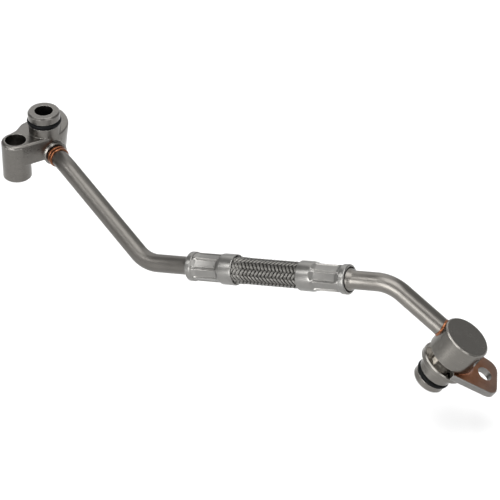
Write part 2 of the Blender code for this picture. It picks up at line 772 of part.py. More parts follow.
def make_braze(copper):
    """The copper: two rings at the port, a fillet round the pipe at the cap, and one from cap to plate."""
    inner = PIPE_OD / 2 + SEAT_GAP
    crown = BRAZE_OD / 2
    rim = FRONT_WALL + BOSS_HEIGHT + BRAZE_START
    for name, start in (("inlet_braze_inner", rim), ("inlet_braze_outer", rim + BRAZE_PITCH)):
        end = start + BRAZE_WIDTH
        bead = [
            (start, inner),
            (start, crown - 0.3 * MM),
            (start + 0.35 * MM, crown - 0.06 * MM),
            (start + BRAZE_WIDTH / 2, crown),
            (end - 0.35 * MM, crown - 0.06 * MM),
            (end, crown - 0.3 * MM),
            (end, inner),
        ]
        piece(name, turned(bead, port_frame(), 28), copper)
    make_pipe_fillet(inner, copper)
    wall = CAP_OD / 2 + SEAT_GAP
    top = CAP_LENGTH
    fillet = [(top - PLATE_FILLET, wall), (top, wall), (top, wall + PLATE_FILLET), (top - 0.35 * MM, wall + 0.35 * MM)]
    piece("flange_braze", part_ring(fillet, plate_frame(), PLATE_FILLET_SWEEP, 18), copper)


def make_pipe_fillet(inner, copper):
    """The ring of braze that fills the corner between the pipe and the cap's round side."""
    mesh = bmesh.new()
    place = frame_at(OUTLET, -outlet_run(), plug_frame().col[2].to_3d())
    side = CAP_OD / 2 + SEAT_GAP
    outer = inner + PIPE_FILLET
    section = [(inner, 0.0), (outer, 0.0), (inner + 0.3 * PIPE_FILLET, 0.3 * PIPE_FILLET_HEIGHT)]
    section.append((inner, PIPE_FILLET_HEIGHT))
    loops = []
    for radius, lift in section:
        loop = []
        for step in range(28):
            angle = math.tau * step / 28
            across = radius * math.sin(angle)
            height = math.sqrt(side**2 - across**2) + lift
            loop.append(mesh.verts.new(place @ Vector((radius * math.cos(angle), across, height))))
        loops.append(loop)
    for first, second in zip(loops, loops[1:] + loops[:1]):
        skin(mesh, first, second)
    piece("outlet_tube_braze", mesh, copper)


def make_pipes(steel):
    """Both bent pipes, each from its socket to its hose end."""
    port = port_frame()
    along = hose_direction()
    start = port @ Vector((0, 0, FRONT_WALL + BOSS_HEIGHT - PORT_SOCKET + SEAT_GAP))
    corner = port @ Vector((0, 0, PORT_REACH))
    end = LOW_BEND + along * (INLET_STRAIGHT - CONE_OUTSIDE)
    piece("inlet_tube", bent_pipe([start, corner, LOW_BEND, end]), steel)
    start = OUTLET - outlet_run() * (CAP_OD / 2 - OUTLET_SOCKET + SEAT_GAP)
    end = HIGH_BEND - along * (OUTLET_STRAIGHT - CONE_OUTSIDE)
    piece("outlet_tube", bent_pipe([start, HIGH_BEND, end]), steel)


def main():
    """Builds every sub-part."""
    for old in list(bpy.data.objects):
        bpy.data.objects.remove(old)
    machined = material("machined_steel", (0.36, 0.34, 0.32), 1.0, 0.38)
    drawn = material("pipe_steel", (0.46, 0.44, 0.41), 1.0, 0.32)
    pressed = material("ferrule_steel", (0.42, 0.41, 0.4), 1.0, 0.28)
    wire = material("braid_wire", (0.5, 0.5, 0.49), 1.0, 0.35)
    copper = material("braze_copper", (0.62, 0.3, 0.19), 1.0, 0.4)
    rubber = material("seal_rubber", (0.02, 0.02, 0.022), 0.0, 0.45)
    make_inlet_block(machined)
    piece("inlet_o_ring", o_ring(block_frame(), INLET_SHANK_LENGTH + GROOVE_WIDTH / 2), rubber)
    make_pipes(drawn)
    for end in ("inlet", "outlet"):
        make_ferrule(end, pressed)
    make_liner(rubber)
    make_braid(wire)
    make_outlet_body(machined)
    groove = CAP_LENGTH + NECK_LENGTH + COLLAR_THICKNESS + OUTLET_SHANK_LENGTH
    piece("outlet_o_ring", o_ring(plug_frame(), groove + GROOVE_WIDTH / 2), rubber)
    make_plate(machined)
    make_braze(copper)


main()
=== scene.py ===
"""Looks of the turbo oil feed line: finer meshes, finishes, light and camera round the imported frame."""

import math

import bpy
from mathutils import Matrix, Vector


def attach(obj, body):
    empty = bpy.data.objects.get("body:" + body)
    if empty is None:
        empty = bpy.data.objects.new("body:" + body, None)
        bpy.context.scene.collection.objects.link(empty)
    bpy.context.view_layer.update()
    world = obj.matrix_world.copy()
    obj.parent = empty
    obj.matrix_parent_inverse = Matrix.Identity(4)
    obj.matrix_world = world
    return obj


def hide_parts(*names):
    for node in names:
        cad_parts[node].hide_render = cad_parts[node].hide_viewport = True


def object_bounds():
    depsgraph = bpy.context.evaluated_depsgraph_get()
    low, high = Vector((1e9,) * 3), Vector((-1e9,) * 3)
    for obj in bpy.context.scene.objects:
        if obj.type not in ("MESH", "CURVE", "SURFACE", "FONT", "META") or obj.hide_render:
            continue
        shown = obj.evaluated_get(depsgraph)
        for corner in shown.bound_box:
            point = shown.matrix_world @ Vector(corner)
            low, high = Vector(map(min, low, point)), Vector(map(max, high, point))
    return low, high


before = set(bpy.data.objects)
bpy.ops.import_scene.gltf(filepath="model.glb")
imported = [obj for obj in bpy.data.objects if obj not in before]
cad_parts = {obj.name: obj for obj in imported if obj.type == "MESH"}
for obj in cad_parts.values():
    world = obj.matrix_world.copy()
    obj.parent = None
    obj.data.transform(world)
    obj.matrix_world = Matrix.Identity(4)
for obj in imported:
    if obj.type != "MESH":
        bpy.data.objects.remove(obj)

CAD_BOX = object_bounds()
MM = 0.001

# Sizes of the frame's solids, which the finer meshes repeat
SEAT_GAP = 0.25 * MM
PIPE_OD = 8.0 * MM
PIPE_WALL = 1.0 * MM
BEND_RADIUS = 16.0 * MM
CONE_LENGTH = 3.2 * MM
CONE_OUTSIDE = 2.6 * MM
BEAD_OD = 10.2 * MM
BEAD_LENGTH = 1.0 * MM
BEAD_STEP = 0.2 * MM
NOSE_OD = 4.5 * MM
NOSE_LENGTH = 13.0 * MM
NOSE_BORE = 3.2 * MM
LIP_LENGTH = 3.0 * MM
LIP_OD = 12.9 * MM
LIP_BORE = 11.2 * MM
LIP_DEPTH = 2.0 * MM
LIP_EDGE = 0.6 * MM  # radius of the lip's and the collar's rounded edges
LIP_FALL = 0.75  # of the lip's edge, where the slope to the flats begins
LIP_SLOPE = 0.3 * MM  # length of the step inside the lip
LIP_ROLL = math.radians(15)  # how far round the lip's inner edge its arc ends
RIDGE_ANGLE = math.radians(3.2)  # half of a pressed ridge, seen from the axis
RIDGE_HEIGHT = 0.32 * MM
FLAT_DISH = 0.05 * MM
GROOVE_DEPTH = 0.14 * MM  # beside each ridge
CRIMP_START = 5.2 * MM
CRIMP_END = 14.5 * MM
CRIMP_FLAT = 5.4 * MM
CRIMP_FLATS = 8
CRIMP_WALL = 0.67 * MM
COLLAR_START = 17.3 * MM
FERRULE_LENGTH = 23.4 * MM
COLLAR_WALL = 0.5 * MM
COLLAR_ROLL = math.radians(25)
COLLAR_LEDGE = 0.1 * MM  # how far the collar's mouth lies inside its edge
CRIMP_RUN_OUT = 0.4 * MM  # past the flats, where the bore begins to widen
FERRULE_COLLAR_OD = {"inlet": 13.5 * MM, "outlet": 13.0 * MM}
CRIMP_TURN = {"inlet": math.radians(19), "outlet": math.radians(-31)}
LOW_BEND = Vector((72.9, -20.5, -30.5)) * MM
HIGH_BEND = Vector((189.0, -3.7, -1.4)) * MM
OUTLET = Vector((221.8, 0.0, -20.9)) * MM
INLET_STRAIGHT = 23.4 * MM
OUTLET_STRAIGHT = 19.3 * MM
PORT_HEADING = math.radians(-24.7)
PORT_DEPTH = 8.6 * MM
PORT_OFFSET = 1.2 * MM
PORT_REACH = 20.0 * MM
BOSS_FACE = 8.3 * MM
PORT_SOCKET = 3.8 * MM
O_RING_OD = 15.6 * MM
O_RING_SECTION = 2.2 * MM
GROOVE_WIDTH = O_RING_SECTION + 2 * SEAT_GAP
INLET_SHANK_LENGTH = 4.2 * MM
OUTLET_AXIS = Vector((0.4626, 0.2397, 0.8544))
CAP_OD = 20.8 * MM
CAP_LENGTH = 11.9 * MM
PIPE_UNDER_CAP = 4.8 * MM
NECK_LENGTH = 4.0 * MM
COLLAR_THICKNESS = 2.6 * MM
OUTLET_SHANK_LENGTH = 4.9 * MM
OUTLET_SOCKET = 5.0 * MM
PLATE_TURN = math.radians(-21.7)
BRAZE_OD = 9.5 * MM
BRAZE_WIDTH = 1.7 * MM
BRAZE_START = 0.3 * MM
BRAZE_FULLNESS = 0.6  # 1 is a half-round bead, and less is fuller
BRAZE_BITE = 0.05 * MM  # between a bead and the pipe
BRAZE_PITCH = BRAZE_WIDTH + 0.2 * MM
FILLET_GAP = 0.03 * MM
PIPE_FILLET = 0.45 * MM
PIPE_FILLET_HEIGHT = 0.9 * MM
PIPE_FILLET_WAVE = 0.1  # of its width
PLATE_FILLET = 1.1 * MM
PLATE_FILLET_SWEEP = math.radians(66)
PLATE_FILLET_END = 0.12  # of its size, at both ends
PLATE_FILLET_WAVE = 0.05  # of its size
PLATE_STAIN_REACH = 16.0 * MM

# Steps of the meshes
BEND_STEPS = 18
CONE_STEPS = 4
PIPE_SIDES = 72
TURNED_SIDES = 128
FERRULE_SIDES = 432
O_RING_SIDES = 144
O_RING_STEPS = 28
SLOPE_STEPS = 8
BEAD_STEPS = 14
FILLET_SIDES = 96
FILLET_STEPS = 8
PLATE_FILLET_STEPS = 90

# Weave of the braid
BRAID_OD = 11.6 * MM
BRAID_FLARE = 0.2 * MM
FLARE_START = 2.0 * MM  # from the ferrule
FLARE_RUN = 4.0 * MM
STRANDS_EACH_WAY = 12
WIRES_IN_STRAND = 5
WIRE_OD = 0.23 * MM
WIRE_SPACING = 0.26 * MM  # along the hose
STRAND_CROWN = 0.1 * MM  # how far a strand's outer wires lie below its middle one
STRAND_SPACING = 1.8 * MM  # along the hose, between strands that run the same way
FLOAT_ROWS = 6  # pairs of rows of floats round the hose
FLOAT_TURN = math.radians(19.7)  # where a row of floats begins, from upright
WEAVE_LIFT = 0.16 * MM
FLOAT_FLATNESS = 1.7  # 1 is a plain wave, and more keeps a strand up for longer
WIRE_STEP = math.radians(6)
WIRE_SIDES = 6
BRAID_COVERED = 3.5 * MM  # of the wires under each ferrule

# The photograph's camera
CAMERA_PLACE = Vector((0.6271, -0.7121, 0.6192))
CAMERA_RIGHT = Vector((0.8114, 0.5845, 0.0))
CAMERA_UP = Vector((-0.3436, 0.4769, 0.8090))
CAMERA_LENS = 180.0
SENSOR_WIDTH = 36.0
CAMERA_REACH = 20.0

# Finishes: darkest and lightest base colour, and lowest and highest roughness
BLOCK_COLOURS = (0.122, 0.116, 0.107), (0.165, 0.157, 0.145)
BLOCK_ROUGHNESS = 0.24, 0.36
PLUG_COLOURS = (0.145, 0.138, 0.126), (0.18, 0.171, 0.157)
PLUG_ROUGHNESS = 0.22, 0.3
NECK_COLOUR = (0.42, 0.4, 0.37)
NECK_ROUGHNESS = 0.1
NECK_REACH = 9.6 * MM
PLATE_COLOURS = (0.16, 0.155, 0.147), (0.23, 0.224, 0.214)
PLATE_ROUGHNESS = 0.26, 0.4
STAIN_COLOURS = (0.21, 0.078, 0.03), (0.32, 0.135, 0.062)
FERRULE_COLOURS = (0.185, 0.181, 0.172), (0.25, 0.245, 0.234)
FERRULE_ROUGHNESS = 0.26, 0.38
INLET_PIPE_COLOURS = (0.105, 0.099, 0.091), (0.15, 0.142, 0.131)
INLET_PIPE_ROUGHNESS = 0.34, 0.43
OUTLET_PIPE_COLOURS = (0.14, 0.132, 0.121), (0.2, 0.19, 0.174)
OUTLET_PIPE_ROUGHNESS = 0.31, 0.39
WIRE_COLOURS = (0.2, 0.194, 0.182), (0.27, 0.262, 0.246)
WIRE_ROUGHNESS = 0.26, 0.4
WEAVE_PAINTED_SHADE = (0.035, 0.033, 0.03)  # painted shade, deep between the strands
# how deep into the weave the painted shade reaches
WEAVE_DEPTH = 2.4 * WEAVE_LIFT
COPPER_COLOURS = (0.11, 0.039, 0.018), (0.165, 0.064, 0.031), (0.24, 0.102, 0.052)
COPPER_ROUGHNESS = 0.36, 0.2
RUBBER_COLOURS = (0.003, 0.0032, 0.0033), (0.008, 0.0085, 0.0088)
RUBBER_ROUGHNESS = 0.36, 0.5
RUBBER_SPECULAR = 0.05
EDGE_WEAR_AND_HIGHLIGHT = (0.5, 0.485, 0.456)  # where edges are rubbed bright, by wear and with a painted highlight
EDGE_ROUGHNESS = 0.2
EDGE_REACH = 0.35 * MM
EDGE_SOFTNESS = 0.22 * MM
RIDGE_SOFTNESS = 0.04 * MM
FLOOR_SHADES = 0.58, 0.6

# Stage
FLOOR_DROP = 0.02
FLOOR_REACH = 6.0
FLOOR_GLOW = 0.35
HORIZON_LEVEL = 0.6
ZENITH_LEVEL = 0.35
ZENITH_HEIGHT = 0.8  # of the sky's unit dome
SMOOTH_ANGLE = math.radians(30)
WELD_REACH = 0.001 * MM
LAMP_TARGET = (0.11, 0.0, -0.01)
LAMPS = {  # place, side of the square and watts
    "front": ((0.15, -1.05, 0.2), 0.6, 8.5),
    "top": ((0.15, -0.1, 1.1), 0.9, 9.0),
    "left": ((-0.5, -0.7, 0.8), 0.4, 3.0),
    "right": ((1.1, -0.15, 0.55), 0.4, 1.5),
    "high": ((0.69, -0.37, 0.85), 0.35, 1.6),
    "back": ((-0.45, 0.75, 0.7), 1.0, 3.5),
}


# Frames and centre lines


def frame_at(origin, axis, across):
    """The matrix that carries local Z to the axis, and local X as near to across as it can."""
    up = axis.normalized()
    side = (across - up * across.dot(up)).normalized()
    matrix = Matrix((side, up.cross(side), up)).transposed().to_4x4()
    matrix.translation = origin
    return matrix


def block_frame():
    """The inlet block's frame, in which Z stays upright."""
    return Matrix.Rotation(PORT_HEADING + math.pi / 2, 4, "Z")


def port_frame():
    """Local Z out of the block along the port's axis."""
    outward = Vector((math.cos(PORT_HEADING), math.sin(PORT_HEADING), 0))
    origin = block_frame() @ Vector((PORT_OFFSET, 0, -PORT_DEPTH))
    return frame_at(origin, outward, Vector((0, 0, 1)))


def hose_direction():
    """From the inlet's ferrule to the outlet's."""
    return (HIGH_BEND - LOW_BEND).normalized()


def hose_length():
    """From the mouth of one ferrule to the mouth of the other."""
    return (HIGH_BEND - LOW_BEND).length - INLET_STRAIGHT - OUTLET_STRAIGHT


def ferrule_frame(end):
    """A ferrule's frame, with the origin in its mouth, Z towards the hose and X up."""
    along = hose_direction()
    if end == "inlet":
        return frame_at(LOW_BEND + along * INLET_STRAIGHT, along, Vector((0, 0, 1)))
    return frame_at(HIGH_BEND - along * OUTLET_STRAIGHT, -along, Vector((0, 0, 1)))


def outlet_run():
    """The direction of the last straight, into the plug."""
    return (OUTLET - HIGH_BEND).normalized()


def plug_frame():
    """The plug's frame: the origin in the cap's face, Z down to the tip, X along the last straight."""
    run = outlet_run()
    up = (OUTLET_AXIS - run * OUTLET_AXIS.dot(run)).normalized()
    return frame_at(OUTLET + up * PIPE_UNDER_CAP, -up, run)


def route(corners):
    """(point, direction) along a centre line with rounded corners."""
    heading = (corners[1] - corners[0]).normalized()
    stations = [(corners[0], heading)]
    for here, after in zip(corners[1:], corners[2:]):
        ahead = (after - here).normalized()
        turn = heading.angle(ahead)
        axis = heading.cross(ahead)
        centre = here + (ahead - heading).normalized() * (BEND_RADIUS / math.cos(turn / 2))
        start = here - heading * (BEND_RADIUS * math.tan(turn / 2)) - centre
        for step in range(BEND_STEPS + 1):
            spin = Matrix.Rotation(turn * step / BEND_STEPS, 3, axis)
            stations.append((centre + spin @ start, spin @ heading))
        heading = ahead
    stations.append((corners[-1], heading))
    return stations


# Meshes


def eased(t):
    """A smooth step from 0 to 1."""
    return t * t * (3 - 2 * t)


class Shell:
    """Collects rings of points and the quads between them."""

    def __init__(self):
        self.points = []
        self.faces = []
        self.flow = []

    def ring(self, matrix, height, radius, sides, travel=0.0):
        """One ring about local Z. The radius is a number or a function of the angle."""
        start = len(self.points)
        for step in range(sides):
            angle = math.tau * step / sides
            reach = radius(angle) if callable(radius) else radius
            point = Vector((reach * math.cos(angle), reach * math.sin(angle), height))
            self.points.append(matrix @ point)
            self.flow += [math.cos(angle), math.sin(angle), travel + height]
        return range(start, start + sides)

    def skin(self, first, second):
        """Quads between two closed loops of as many points."""
        count = len(first)
        for step in range(count):
            after = (step + 1) % count
            self.faces.append((first[step], first[after], second[after], second[step]))

    def around(self, loops):
        """Joins each loop to the next, and the last to the first."""
        for first, second in zip(loops, loops[1:] + loops[:1]):
            self.skin(first, second)

    def build(self, name, smooth_angle=32):
        """The shell as an object that rides on the part."""
        data = bpy.data.meshes.new(name)
        data.from_pydata(self.points, [], self.faces)
        data.validate()
        data.shade_smooth()
        data.set_sharp_from_angle(angle=math.radians(smooth_angle))
        if len(self.flow) == 3 * len(self.points):
            data.attributes.new("flow", "FLOAT_VECTOR", "POINT").data.foreach_set("vector", self.flow)
        made = bpy.data.objects.new(name, data)
        bpy.context.scene.collection.objects.link(made)
        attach(made, "root")
        return made


def turned(name, profile, matrix, sides=TURNED_SIDES):
    """A closed ring turned about local Z from a profile of (height, radius)."""
    shell = Shell()
    shell.around([shell.ring(matrix, height, radius, sides) for height, radius in profile])
    return shell.build(name)


def arc(centre, radius, start, end, steps):
    """Points of an arc in a plane, from one angle to another."""
    points = []
    for step in range(steps + 1):
        angle = start + (end - start) * step / steps
        points.append((centre[0] + radius * math.cos(angle), centre[1] + radius * math.sin(angle)))
    return points


def bent_pipe(name, corners):
    """A hollow pipe along its route, with the cone, bead and nose of its hose end."""
    shell = Shell()
    side = Vector((0, 0, 1))
    frames = []
    travels = []
    for point, direction in route(corners):
        travels.append(travels[-1] + (point - frames[-1].translation).length if frames else 0.0)
        frames.append(frame_at(point, direction, side))
        side = frames[-1].col[0].to_3d()
    last = frames[-1]
    shoulder = CONE_LENGTH + BEAD_LENGTH
    outside = []
    for step in range(1, CONE_STEPS + 1):
        t = step / CONE_STEPS
        outside.append((CONE_LENGTH * t, PIPE_OD / 2 + (BEAD_OD - PIPE_OD) / 2 * eased(t)))
    outside += [(shoulder, BEAD_OD / 2), (shoulder + BEAD_STEP, NOSE_OD / 2)]
    outside += [(shoulder + NOSE_LENGTH, NOSE_OD / 2)]
    bore = [(shoulder, NOSE_BORE / 2), (shoulder + NOSE_LENGTH, NOSE_BORE / 2)]
    length = travels[-1]
    along = list(zip(frames, travels))
    outer = [shell.ring(matrix, 0, PIPE_OD / 2, PIPE_SIDES, travel) for matrix, travel in along]
    outer += [shell.ring(last, reach, radius, PIPE_SIDES, length) for reach, radius in outside]
    inside = PIPE_OD / 2 - PIPE_WALL
    inner = [shell.ring(matrix, 0, inside, PIPE_SIDES, travel) for matrix, travel in along]
    inner += [shell.ring(last, reach, radius, PIPE_SIDES, length) for reach, radius in bore]
    shell.around(outer + inner[::-1])
    return shell.build(name)


def crimped(limit, flat, ridge):
    """The radius of a turned wall that a press has squeezed to flats, by angle from a ridge.

    limit is the turned radius, flat the distance to a flat, and ridge the height of the ridges.
    """
    spread = math.tau / CRIMP_FLATS

    def radius(angle):
        off = abs(angle % spread - spread / 2)
        away = (spread / 2 - off) / RIDGE_ANGLE
        crest = eased(max(0.0, 1 - away))
        groove = math.sin(math.pi * (away - 1)) if 1 < away < 2 else 0.0
        dish = FLAT_DISH * (1 - (2 * off / spread) ** 2) + GROOVE_DEPTH * groove
        pressed = flat / math.cos(off) - dish * ridge / RIDGE_HEIGHT
        return min(limit + ridge, pressed + ridge * crest)

    return radius


def ferrule_outside(collar):
    """(height, turned radius, distance to a flat, ridge) along a ferrule, from its lip to its collar."""
    lip = LIP_OD / 2
    corner = CRIMP_FLAT / math.cos(math.pi / CRIMP_FLATS)
    edge = LIP_EDGE
    outside = []
    for height, radius in arc((edge, lip - edge), edge, math.pi, math.pi / 2, 6):
        outside.append((height, radius, radius, 0))
    for height, radius in arc((LIP_LENGTH - edge, lip - edge), edge, math.pi / 2, LIP_ROLL, 5):
        outside.append((height, radius, radius, 0))
    fall = lip - edge * LIP_FALL
    for step in range(1, SLOPE_STEPS + 1):
        t = step / SLOPE_STEPS
        height = LIP_LENGTH + (CRIMP_START - LIP_LENGTH) * t
        dip = math.sin(t * math.pi / 2)
        flat = fall + (CRIMP_FLAT - fall) * dip
        outside.append((height, fall + (corner - fall) * t, flat, RIDGE_HEIGHT * dip))
    for step in range(SLOPE_STEPS + 1):
        t = step / SLOPE_STEPS
        height = CRIMP_END + (COLLAR_START - CRIMP_END) * t
        swell = eased(t)
        flat = CRIMP_FLAT + (collar - CRIMP_FLAT) * swell
        outside.append((height, corner + (collar - corner) * swell, flat, RIDGE_HEIGHT * (1 - swell)))
    centre = (FERRULE_LENGTH - edge, collar - edge)
    for height, radius in arc(centre, edge, math.pi / 2, COLLAR_ROLL, 5):
        outside.append((height, radius, radius, 0))
    return outside


def ferrule(end):
    """The crimped ferrule: rounded lip, flats with pressed ridges between them, and collar."""
    collar = FERRULE_COLLAR_OD[end] / 2
    grip = CRIMP_FLAT - CRIMP_WALL
    bore = [
        (FERRULE_LENGTH - COLLAR_LEDGE, collar - COLLAR_WALL),
        (COLLAR_START, collar - COLLAR_WALL),
        (CRIMP_END + CRIMP_RUN_OUT, grip),
        (LIP_DEPTH + LIP_SLOPE, grip),
        (LIP_DEPTH, LIP_BORE / 2),
        (0, LIP_BORE / 2),
    ]
    outside = ferrule_outside(collar)
    profile = [(height, crimped(limit, flat, ridge)) for height, limit, flat, ridge in outside]
    place = ferrule_frame(end) @ Matrix.Rotation(CRIMP_TURN[end], 4, "Z")
    made = turned(end + "_ferrule_fine", profile + bore, place, FERRULE_SIDES)
    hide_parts(end + "_ferrule")
    return made


def o_ring(end, matrix, height):
    """A round-section ring in its groove."""
    half = O_RING_SECTION / 2
    section = arc((height, O_RING_OD / 2 - half), half, 0, math.tau, O_RING_STEPS)
    made = turned(end + "_o_ring_fine", section[:-1], matrix, O_RING_SIDES)
    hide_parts(end + "_o_ring")
    return made


def braze_ring(name, start):
    """One bead of copper round the pipe at the port."""
    inner = PIPE_OD / 2 + BRAZE_BITE
    half = BRAZE_WIDTH / 2
    crown = BRAZE_OD / 2
    profile = []
    for height, lift in arc((start + half, 0), half, math.pi, 0, BEAD_STEPS):
        profile.append((height, inner + (crown - inner) * (lift / half) ** BRAZE_FULLNESS))
    made = turned(name + "_fine", profile, port_frame())
    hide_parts(name)
    return made


def pipe_fillet():
    """The braze between the pipe and the cap's round side, with a slightly uneven rim."""
    shell = Shell()
    place = frame_at(OUTLET, -outlet_run(), plug_frame().col[2].to_3d())
    side = CAP_OD / 2
    inner = PIPE_OD / 2 + FILLET_GAP
    sides = FILLET_SIDES
    loops = []
    for step in range(FILLET_STEPS + 1):
        t = step / FILLET_STEPS
        loop_start = len(shell.points)
        for k in range(sides):
            angle = math.tau * k / sides
            rim = PIPE_FILLET * (1 + PIPE_FILLET_WAVE * math.sin(3 * angle + 1))
            radius = inner + rim * (1 - math.sin(t * math.pi / 2))
            lift = PIPE_FILLET_HEIGHT * (1 - math.cos(t * math.pi / 2))
            across = radius * math.sin(angle)
            height = math.sqrt(side**2 - across**2) + lift + FILLET_GAP
            shell.points.append(place @ Vector((radius * math.cos(angle), across, height)))
        loops.append(range(loop_start, loop_start + sides))
    foot = len(shell.points)
    for k in range(sides):
        angle = math.tau * k / sides
        across = inner * math.sin(angle)
        height = math.sqrt(side**2 - across**2)
        shell.points.append(place @ Vector((inner * math.cos(angle), across, height)))
    loops.append(range(foot, foot + sides))
    shell.around(loops)
    made = shell.build("outlet_tube_braze_fine", 60)
    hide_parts("outlet_tube_braze")
    return made


def plate_fillet():
    """The braze from the cap down to the plate, tapered at both ends."""
    shell = Shell()
    place = plug_frame() @ Matrix.Rotation(PLATE_TURN, 4, "Z")
    wall = CAP_OD / 2 + FILLET_GAP
    foot = CAP_LENGTH + SEAT_GAP - FILLET_GAP
    loops = []
    for step in range(PLATE_FILLET_STEPS + 1):
        t = 2 * step / PLATE_FILLET_STEPS - 1
        taper = PLATE_FILLET_END + (1 - PLATE_FILLET_END) * math.sqrt(max(0.0, 1 - t**6))
        size = PLATE_FILLET * taper * (1 + PLATE_FILLET_WAVE * math.sin(5 * t))
        spin = place @ Matrix.Rotation(PLATE_FILLET_SWEEP * t, 4, "Z")
        section = [(foot, wall)]
        for k in range(FILLET_STEPS + 1):
            bend = math.pi / 2 * k / FILLET_STEPS
            section.append((foot - size * (1 - math.sin(bend)), wall + size * (1 - math.cos(bend))))
        start = len(shell.points)
        for height, radius in section:
            shell.points.append(spin @ Vector((radius, 0, height)))
        loops.append(range(start, len(shell.points)))
    for first, second in zip(loops, loops[1:]):
        shell.skin(first, second)
    shell.faces.append(tuple(loops[0])[::-1])
    shell.faces.append(tuple(loops[-1]))
    made = shell.build("flange_braze_fine", 50)
    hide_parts("flange_braze")
    return made


def wire_path(way, strand, wire, start, end):
    """(height, angle, radius) along one wire of the braid. way is 1 or -1."""
    lay = STRAND_SPACING * STRANDS_EACH_WAY
    shift = (wire - (WIRES_IN_STRAND - 1) / 2) * WIRE_SPACING
    crown = STRAND_CROWN * (2 * wire / (WIRES_IN_STRAND - 1) - 1) ** 2
    base = BRAID_OD / 2 - WEAVE_LIFT - WIRE_OD / 2 - crown
    count = int((end - start) / lay * math.tau / WIRE_STEP) + 1
    path = []
    for step in range(count + 1):
        height = start + (end - start) * step / count
        angle = math.tau * strand / STRANDS_EACH_WAY + way * math.tau * (height - shift) / lay
        wave = math.sin(FLOAT_ROWS * (angle - FLOAT_TURN))
        lift = max(-1.0, min(1.0, FLOAT_FLATNESS * wave)) * WEAVE_LIFT * way
        path.append((height, angle, base + lift + flare(height)))
    return path


def flare(height):
    """How far the braid swells beside the inlet's ferrule."""
    beyond = (height - FERRULE_LENGTH - FLARE_START) / FLARE_RUN
    return BRAID_FLARE * (1 - eased(max(0.0, min(1.0, beyond))))


def braid():
    """Every wire of the braid: strands each way pass over two and under two."""
    shell = Shell()
    place = ferrule_frame("inlet")
    start = FERRULE_LENGTH - BRAID_COVERED
    end = hose_length() - FERRULE_LENGTH + BRAID_COVERED
    slope = math.atan2(math.tau * BRAID_OD / 2, STRAND_SPACING * STRANDS_EACH_WAY)
    for way in (1, -1):
        for strand in range(STRANDS_EACH_WAY):
            for wire in range(WIRES_IN_STRAND):
                add_wire(shell, place, wire_path(way, strand, wire, start, end), way * slope)
    made = shell.build("hose_braid_fine", 80)
    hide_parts("hose_braid")
    return made


def add_wire(shell, place, path, slope):
    """A round wire along a path on the hose, closed at both ends."""
    loops = []
    for height, angle, radius in path:
        out = Vector((math.cos(angle), math.sin(angle), 0))
        around = Vector((-math.sin(angle), math.cos(angle), 0))
        across = Vector((0, 0, 1)) * math.sin(slope) - around * math.cos(slope)
        centre = out * radius + Vector((0, 0, height))
        start = len(shell.points)
        for side in range(WIRE_SIDES):
            turn = math.tau * side / WIRE_SIDES
            offset = out * math.cos(turn) + across * math.sin(turn)
            shell.points.append(place @ (centre + offset * (WIRE_OD / 2)))
        loops.append(range(start, start + WIRE_SIDES))
    for first, second in zip(loops, loops[1:]):
        shell.skin(first, second)
    shell.faces.append(tuple(loops[0])[::-1])
    shell.faces.append(tuple(loops[-1]))


# Finishes


